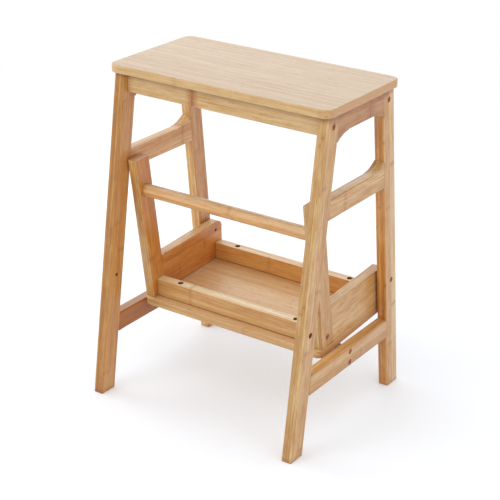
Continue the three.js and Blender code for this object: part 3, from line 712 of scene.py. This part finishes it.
def place_piece(mesh, name, node, body, material, slot, placement=AS_IT_STANDS):
    """Turns a bmesh in the frame of its placement into a piece that stands for a CAD node and
    rides on its body."""
    bmesh.ops.transform(mesh, matrix=placement.inverted(), verts=mesh.verts)
    for face in mesh.faces:
        face.smooth = True
    for edge in mesh.edges:
        if len(edge.link_faces) == 2 and edge.calc_face_angle() > SHARP_ANGLE:
            edge.smooth = False
    data = bpy.data.meshes.new(name)
    mesh.to_mesh(data)
    mesh.free()
    piece = bpy.data.objects.new(name, data)
    bpy.context.scene.collection.objects.link(piece)
    data.materials.append(material)
    if slot.startswith("bamboo"):
        data.materials.append(bored_wood)
    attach(piece, body)
    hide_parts(node)
    return piece


def darken_holes(mesh, axes):
    """Gives the walls and floors of the bores along X their rough wood. axes are where their
    axes cross Y and Z."""
    low, high = extent(mesh)
    for face in mesh.faces:
        middle = face.calc_center_median()
        if close_to(middle.x, low.x) or close_to(middle.x, high.x):
            continue
        if any(abs(middle.y - y) < BORE_REACH and abs(middle.z - z) < BORE_REACH
               for y, z in axes):
            face.material_index = BORED


def ease(mesh, radius_of):
    """Gives each outline edge the rounding that radius_of says for its middle and direction, as
    a share of the full radius."""
    weight = mesh.edges.layers.float.new("bevel_weight_edge")
    for edge in mesh.edges:
        if len(edge.link_faces) != 2 or edge.calc_face_angle() < SHARP_ANGLE:
            continue
        if edge.calc_length() < RIM_CHORD:
            continue
        first, last = (v.co for v in edge.verts)
        middle = (first + last) / 2
        direction = (last - first).normalized()
        edge[weight] = radius_of(middle, direction) / EDGE_RADIUS


def place_bar(mesh, node, body, material, placement=AS_IT_STANDS):
    """Places a bar, leg or panel, rounds its weighted edges and keeps its flat faces flat in the
    shading."""
    piece = place_piece(mesh, f"{node}_wood", node, body, material, "bamboo_frame", placement)
    bevel = piece.modifiers.new("eased_edges", "BEVEL")
    bevel.limit_method = "WEIGHT"
    bevel.width = EDGE_RADIUS
    bevel.segments = EDGE_SEGMENTS
    bevel.profile = PROFILE
    bevel.material = -1
    bevel.use_clamp_overlap = False
    bevel.miter_outer = "MITER_ARC"
    piece.modifiers.new("flat_faces", "WEIGHTED_NORMAL").keep_sharp = True


def cut_across(mesh, heights):
    """Adds an edge round the piece at each height, so that its easing can stop there."""
    for height in heights:
        bmesh.ops.bisect_plane(
            mesh, geom=mesh.verts[:] + mesh.edges[:] + mesh.faces[:],
            plane_co=(0, 0, height), plane_no=(0, 0, 1),
        )


def stool_leg(side, end):
    """A leg is eased all round, but its inner edge stays square where a rail is let in."""
    node = f"{side}_{end}_leg"
    mesh = copied(node, AS_IT_STANDS)
    low, high = extent(mesh)
    bore = box_middle(f"{side}_{end}_apron_bolt")
    way = -1 if end == "front" else 1
    darken_holes(mesh, [(bore.y, bore.z), (way * PIVOT.y, PIVOT.z)])
    slope = (high.y - low.y - LEG_WIDTH) / (high.z - low.z)
    joints = []
    for rail in ("top", "mid", "lower"):
        rail_low, rail_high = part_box(f"{side}_{rail}_rail")
        top = rail_low.z + RAIL_HEIGHT if (rail, end) == ("mid", "front") else rail_high.z
        joints.append((rail_low.z, top))
    below_top = high.z - END_MARGIN
    cut_across(mesh, [height for joint in joints for height in joint if height < below_top])
    foot_middle = way * (max(abs(low.y), abs(high.y)) - LEG_WIDTH / 2)

    def radius_of(middle, direction):
        if close_to(middle.z, high.z):
            return 0
        if close_to(middle.z, low.z):
            return FOOT_RADIUS
        if not on_wide_face(middle, low, high) or abs(direction.z) < LEG_WISE:
            return 0
        is_inner = way * (middle.y - foot_middle) + slope * middle.z < 0
        in_joint = any(start < middle.z < stop for start, stop in joints)
        return 0 if is_inner and in_joint else EDGE_RADIUS

    ease(mesh, radius_of)
    axis = (0, -way * slope, 1)
    centre = ((low.x + high.x) / 2, foot_middle, 0)
    length = (high.z - low.z) * math.hypot(1, slope)
    # Painted shade below the seat at the leg's top, and a darker cut end at its foot
    seat_shadow_and_foot_shades = [
        (0, length, SEAT_SHADOW_REACH, SEAT_SHADOW_STRENGTH), (0, 0, FOOT_REACH, FOOT_SHADE),
    ]
    material = bamboo(node, axis, (0, 1, way * slope), centre, seat_shadow_and_foot_shades)
    place_bar(mesh, node, "stand", material)


def side_rail(side, rail):
    """A rail of a side frame is eased along its two long edges, gussets included."""
    node = f"{side}_{rail}_rail"
    mesh = copied(node, AS_IT_STANDS)
    if rail == "lower":
        bores = [box_middle(f"{side}_{row}_stretcher_bolt") for row in ("upper", "lower")]
        darken_holes(mesh, [(bore.y, bore.z) for bore in bores])
    low, high = extent(mesh)

    def radius_of(middle, direction):
        if not on_wide_face(middle, low, high):
            return 0
        is_end = abs(direction.z) > UPRIGHT
        is_hidden = rail == "top" and close_to(middle.z, high.z)
        return 0 if is_end or is_hidden else EDGE_RADIUS

    ease(mesh, radius_of)
    centre = ((low.x + high.x) / 2, 0, low.z)
    joints = [(1, high.z - low.z, JOINT_REACH, JOINT_SHADE)] if rail == "top" else []
    material = bamboo(node, (0, 1, 0), (0, 0, 1), centre, joints)
    place_bar(mesh, node, "stand", material)


def cross_bar(node, body, placement, top_radius, bottom_radius):
    """A straight bar along X, eased by its own radius above and below. Where it meets a board
    the edge is hardly eased, and the joint is dark. Below the seat that dark band is wider, as
    painted shade of the seat's overhang."""
    mesh = copied(node, placement)
    low, high = extent(mesh)
    # A face that lies on none of the bar's six sides is the wall or floor of a screw hole
    for face in mesh.faces:
        middle = face.calc_center_median()
        on_side = close_to(middle.y, low.y) or close_to(middle.y, high.y)
        on_edge = close_to(middle.z, low.z) or close_to(middle.z, high.z)
        if not (on_side or on_edge) and abs(middle.x) < high.x - END_MARGIN:
            face.material_index = BORED

    def radius_of(middle, direction):
        if abs(direction.x) > PARALLEL:
            at_corner = close_to(middle.y, low.y) or close_to(middle.y, high.y)
            if not at_corner:
                return 0
            return top_radius if close_to(middle.z, high.z) else bottom_radius
        at_end = close_to(middle.x, low.x) or close_to(middle.x, high.x)
        return SEAM_RADIUS if at_end and body == "step" else 0

    ease(mesh, radius_of)
    centre = placement.inverted() @ Vector((0, (low.y + high.y) / 2, low.z))
    up = placement.inverted().to_3x3() @ Vector((0, 0, 1))
    joints = []
    if bottom_radius < EDGE_RADIUS:
        joints.append((1, 0, JOINT_REACH, JOINT_SHADE))
    if top_radius < EDGE_RADIUS:
        # Painted shade below the seat's overhang
        joints.append((1, high.z - low.z, SEAT_SHADOW_REACH, SEAT_SHADOW_STRENGTH))
    material = bamboo(node, (1, 0, 0), up, centre, joints)
    place_bar(mesh, node, body, material, placement)


def step_leg(side):
    """A step leg is eased all round, but stays square where its side panel is let in."""
    node = f"{side}_step_leg"
    mesh = copied(node, LEVEL_STEP)
    low, high = extent(mesh)
    panel = copied(f"{side}_step_side_panel", LEVEL_STEP)
    panel_top = extent(panel)[1].z
    panel.free()
    cut_across(mesh, [panel_top])
    bore = LEVEL_STEP @ box_middle(f"{side}_step_front_bolt")
    darken_holes(mesh, [(bore.y, bore.z)])
    slope = (high.y - low.y - LEG_WIDTH) / (high.z - low.z)

    def radius_of(middle, direction):
        if close_to(middle.z, low.z):
            return SEAM_RADIUS
        if close_to(middle.z, high.z):
            return FOOT_RADIUS
        if not on_wide_face(middle, low, high) or abs(direction.z) < LEG_WISE:
            return 0
        rear_edge = high.y - slope * (middle.z - low.z)
        is_rear = close_to(middle.y, rear_edge, play=LEG_WIDTH / 2)
        return 0 if is_rear and middle.z < panel_top else EDGE_RADIUS

    ease(mesh, radius_of)
    back = LEVEL_STEP.inverted()
    axis = back.to_3x3() @ Vector((0, -slope, 1))
    across = back.to_3x3() @ Vector((0, 1, slope))
    centre = back @ Vector(((low.x + high.x) / 2, high.y - LEG_WIDTH / 2, low.z))
    material = bamboo(node, axis, across, centre, [(0, 0, JOINT_REACH, JOINT_SHADE)])
    place_bar(mesh, node, "step", material, LEVEL_STEP)


def step_panel(side):
    """A side panel is eased along its top, its round corner and its rear edge."""
    node = f"{side}_step_side_panel"
    mesh = copied(node, LEVEL_STEP)
    low, high = extent(mesh)
    joint_reach = low.y + LEG_WIDTH
    bore = LEVEL_STEP @ box_middle(f"{side}_step_rear_bolt")
    darken_holes(mesh, [(bore.y, bore.z), (0, 0)])

    def radius_of(middle, direction):
        if not on_wide_face(middle, low, high):
            return 0
        if close_to(middle.z, low.z):
            return SEAM_RADIUS
        is_joint = middle.y < joint_reach and abs(direction.z) > STEEP
        return 0 if is_joint else EDGE_RADIUS

    ease(mesh, radius_of)
    back = LEVEL_STEP.inverted()
    along = back.to_3x3() @ Vector((0, 1, 0))
    across = back.to_3x3() @ Vector((0, 0, 1))
    centre = back @ Vector(((low.x + high.x) / 2, 0, low.z))
    material = bamboo(node, along, across, centre, [(1, 0, JOINT_REACH, JOINT_SHADE)])
    place_bar(mesh, node, "step", material, LEVEL_STEP)


def board(node, body, placement, corner_radius):
    """A board with round corners and a soft edge above and below."""
    source = copied(node, placement)
    low, high = extent(source)
    source.free()
    mesh = bmesh.new()
    bmesh.ops.create_cube(mesh, size=1)
    bmesh.ops.scale(mesh, vec=high - low, verts=mesh.verts)
    bmesh.ops.translate(mesh, vec=(low + high) / 2, verts=mesh.verts)
    upright = [
        edge for edge in mesh.edges
        if abs((edge.verts[0].co - edge.verts[1].co).normalized().z) > PARALLEL
    ]
    bmesh.ops.bevel(
        mesh, geom=upright, offset=corner_radius, offset_type="OFFSET", affect="EDGES",
        segments=CORNER_SEGMENTS, profile=PROFILE, material=-1,
    )
    rims = [
        edge for edge in mesh.edges
        if abs(edge.verts[0].co.z - edge.verts[1].co.z) < MERGE_DISTANCE
    ]
    bmesh.ops.bevel(
        mesh, geom=rims, offset=BOARD_EDGE, offset_type="OFFSET", affect="EDGES",
        segments=EDGE_SEGMENTS, profile=PROFILE, material=-1,
    )
    back = placement.inverted()
    across = back.to_3x3() @ Vector((0, 1, 0))
    centre = back @ Vector((0, (low.y + high.y) / 2, low.z))
    material = bamboo(node, (1, 0, 0), across, centre)
    piece = place_piece(mesh, f"{node}_wood", node, body, material, "bamboo_board", placement)
    piece.modifiers.new("flat_faces", "WEIGHTED_NORMAL").keep_sharp = True


def crossbar():
    """The round bar between the step's legs."""
    node = "step_crossbar"
    low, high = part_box(node)
    mesh = bmesh.new()
    radius = (high.z - low.z) / 2
    bmesh.ops.create_cone(
        mesh, cap_ends=True, segments=BAR_SEGMENTS, radius1=radius, radius2=radius,
        depth=high.x - low.x,
    )
    bmesh.ops.rotate(mesh, matrix=Matrix.Rotation(math.pi / 2, 3, "Y"), verts=mesh.verts)
    bmesh.ops.translate(mesh, vec=(low + high) / 2, verts=mesh.verts)
    material = bamboo(node, (1, 0, 0), (0, 0, 1), (low + high) / 2)
    place_piece(mesh, f"{node}_wood", node, "step", material, "bamboo_frame")


def ring(mesh, radius, height, corners=RING_POINTS):
    """A closed loop of edges: a circle, or a polygon with as many points along its sides."""
    made = bmesh.ops.create_circle(mesh, segments=corners, radius=radius)
    points = made["verts"]
    edges = list({edge for point in points for edge in point.link_edges})
    if corners < RING_POINTS:
        cut = bmesh.ops.subdivide_edges(mesh, edges=edges, cuts=RING_POINTS // corners - 1)
        edges = [item for item in cut["geom"] if isinstance(item, bmesh.types.BMEdge)]
        points = list({point for edge in edges for point in edge.verts})
    bmesh.ops.translate(mesh, vec=(0, 0, height), verts=points)
    return edges


def fastener(node, body, material, slot, outwards, head_height, socket):
    """A bolt or screw: rings from the bottom of its socket, over its head, to its tip."""
    low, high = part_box(node)
    size = high - low
    axis = max(range(3), key=lambda i: abs(outwards[i]))
    # The box is as wide as the head and as long as the whole fastener, or nearly so on the tilted
    # step
    head = sorted(size)[1] / 2
    total = size[axis]
    mesh = bmesh.new()
    corners, reach, depth = socket
    loops = [
        ring(mesh, reach, -depth, corners),
        ring(mesh, reach, 0, corners),
        ring(mesh, head - HEAD_CHAMFER, 0),
        ring(mesh, head - CHAMFER_EASE, -CHAMFER_EASE),
        ring(mesh, head, -HEAD_CHAMFER),
        ring(mesh, head, -head_height),
        ring(mesh, SHANK_RADIUS, -head_height),
        ring(mesh, SHANK_RADIUS, -total),
    ]
    for outer, inner in zip(loops, loops[1:]):
        bmesh.ops.bridge_loops(mesh, edges=outer + inner)
    for loop in (loops[0], loops[-1]):
        bmesh.ops.contextual_create(mesh, geom=loop)
    bmesh.ops.recalc_face_normals(mesh, faces=mesh.faces)
    centre = (low + high) / 2
    top = centre + Vector(outwards) * total / 2
    turn = Vector((0, 0, 1)).rotation_difference(Vector(outwards)).to_matrix().to_4x4()
    bmesh.ops.transform(mesh, matrix=Matrix.Translation(top) @ turn, verts=mesh.verts)
    place_piece(mesh, f"{node}_metal", node, body, material, slot)


def bolt(node, body, way):
    """A bronze plated bolt with a hex socket, in from one side."""
    fastener(node, body, bronze, "bronze_bolt", (way, 0, 0), BOLT_HEAD_HEIGHT, HEX_SOCKET)


def screw(node, body, outwards):
    """A zinc plated screw with a square recess."""
    fastener(node, body, zinc, "zinc_steel", outwards, SCREW_HEAD_HEIGHT, SQUARE_RECESS)


sides = {"left": -1, "right": 1}
for side_name, side_way in sides.items():
    for end_name in ("front", "rear"):
        stool_leg(side_name, end_name)
        bolt(f"{side_name}_{end_name}_apron_bolt", "stand", side_way)
        bolt(f"{side_name}_step_{end_name}_bolt", "step", side_way)
    for rail_name in ("top", "mid", "lower"):
        side_rail(side_name, rail_name)
    for row_name in ("upper", "lower"):
        bolt(f"{side_name}_{row_name}_stretcher_bolt", "stand", side_way)
    bolt(f"{side_name}_pivot_bolt", "stand", side_way)
    step_leg(side_name)
    step_panel(side_name)
    for node_name in (f"{side_name}_pivot_washer", f"{side_name}_pivot_insert"):
        frame["nodes"][node_name].data.materials.clear()
        frame["nodes"][node_name].data.materials.append(zinc)

cross_bar("front_apron", "stand", AS_IT_STANDS, 0, EDGE_RADIUS)
cross_bar("rear_apron", "stand", AS_IT_STANDS, 0, EDGE_RADIUS)
cross_bar("stretcher", "stand", AS_IT_STANDS, EDGE_RADIUS, EDGE_RADIUS)
cross_bar("step_front_rail", "step", LEVEL_STEP, EDGE_RADIUS, SEAM_RADIUS)
cross_bar("step_rear_rail", "step", LEVEL_STEP, EDGE_RADIUS, SEAM_RADIUS)
board("seat_board", "stand", AS_IT_STANDS, SEAT_CORNER)
board("step_tread_board", "step", LEVEL_STEP, TREAD_CORNER)
crossbar()
for number in range(1, 5):
    screw(f"seat_screw_{number}", "stand", (0, 0, -1))
    screw(f"tread_screw_{number}", "step", STEP_UP)


def seen_directly(tree):
    """1 for a ray from the camera, a reflection or a clear material, and 0 for soft light."""
    path = add_node(tree, "ShaderNodeLightPath")
    some = add_node(tree, "ShaderNodeMath", {
        0: path.outputs["Is Camera Ray"], 1: path.outputs["Is Glossy Ray"],
    }, operation="MAXIMUM")
    return add_node(tree, "ShaderNodeMath", {
        0: some, 1: path.outputs["Is Transmission Ray"],
    }, operation="MAXIMUM")


def studio():
    """A pale floor that turns white around the stool, a white surround and soft lamps."""
    floor_mesh = bmesh.new()
    bmesh.ops.create_grid(floor_mesh, x_segments=1, y_segments=1, size=FLOOR_SIZE / 2)
    data = bpy.data.meshes.new("floor")
    floor_mesh.to_mesh(data)
    floor_mesh.free()
    floor = bpy.data.objects.new("floor", data)
    bpy.context.scene.collection.objects.link(floor)
    material, tree = new_material("pale_floor")
    every = seen_directly(tree)
    lift = add_node(tree, "ShaderNodeMath", {0: every, 1: FLOOR_LIFT}, operation="MULTIPLY")
    paint = add_node(tree, "ShaderNodeBsdfPrincipled", {
        "Base Color": linear(FLOOR_COLOUR), "Roughness": FLOOR_ROUGHNESS,
        "Specular IOR Level": FLOOR_SPECULAR, "Emission Color": WHITE, "Emission Strength": lift,
    })
    place = add_node(tree, "ShaderNodeTexCoord")
    away = add_node(tree, "ShaderNodeVectorMath", {0: place.outputs["Object"]}, operation="LENGTH")
    fade = add_node(tree, "ShaderNodeMapRange", {
        "Value": away.outputs["Value"], "From Min": FLOOR_FADE[0], "From Max": FLOOR_FADE[1],
    }, interpolation_type="SMOOTHSTEP")
    white = add_node(tree, "ShaderNodeEmission", {"Color": WHITE, "Strength": 1.0})
    seen_white = add_node(tree, "ShaderNodeMath", {0: fade, 1: every}, operation="MULTIPLY")
    set_surface(tree, add_node(tree, "ShaderNodeMixShader", {0: seen_white, 1: paint, 2: white}))
    data.materials.append(material)

    world = bpy.data.worlds.new("white_surround")
    bpy.context.scene.world = world
    world.use_nodes = True
    tree = world.node_tree
    tree.nodes.clear()
    level = add_node(tree, "ShaderNodeMapRange", {
        "Value": seen_directly(tree), "To Min": WORLD_LIGHT, "To Max": 1.0,
    })
    light = add_node(tree, "ShaderNodeBackground", {"Color": WHITE, "Strength": level})
    add_node(tree, "ShaderNodeOutputWorld", {"Surface": light})

    for name, (place, size, power) in LAMPS.items():
        lamp = bpy.data.lights.new(name, "AREA")
        lamp.shape = "DISK"
        lamp.size = size
        lamp.energy = power
        holder = bpy.data.objects.new(name, lamp)
        holder.location = place
        holder.rotation_euler = (AIM - Vector(place)).to_track_quat("-Z", "Y").to_euler()
        holder.visible_camera = False
        bpy.context.scene.collection.objects.link(holder)


def photo_camera():
    """The photograph's camera, by its place, direction, roll and lens."""
    across = Vector((math.cos(CAMERA_AZIMUTH), math.sin(CAMERA_AZIMUTH), 0))
    back = Vector((
        math.sin(CAMERA_AZIMUTH) * math.cos(CAMERA_ELEVATION),
        -math.cos(CAMERA_AZIMUTH) * math.cos(CAMERA_ELEVATION),
        math.sin(CAMERA_ELEVATION),
    ))
    up = back.cross(across)
    cosine, sine = math.cos(CAMERA_ROLL), math.sin(CAMERA_ROLL)
    axes = Matrix((cosine * across + sine * up, cosine * up - sine * across, back)).transposed()
    lens = bpy.data.cameras.new("photo_camera")
    lens.sensor_width = CAMERA_SENSOR
    lens.lens = CAMERA_LENS
    lens.shift_x, lens.shift_y = CAMERA_SHIFT
    camera = bpy.data.objects.new("photo_camera", lens)
    camera.matrix_world = Matrix.Translation(CAMERA_PLACE) @ axes.to_4x4()
    bpy.context.scene.collection.objects.link(camera)
    bpy.context.scene.camera = camera


studio()
photo_camera()
bpy.context.scene.view_settings.view_transform = "Standard"
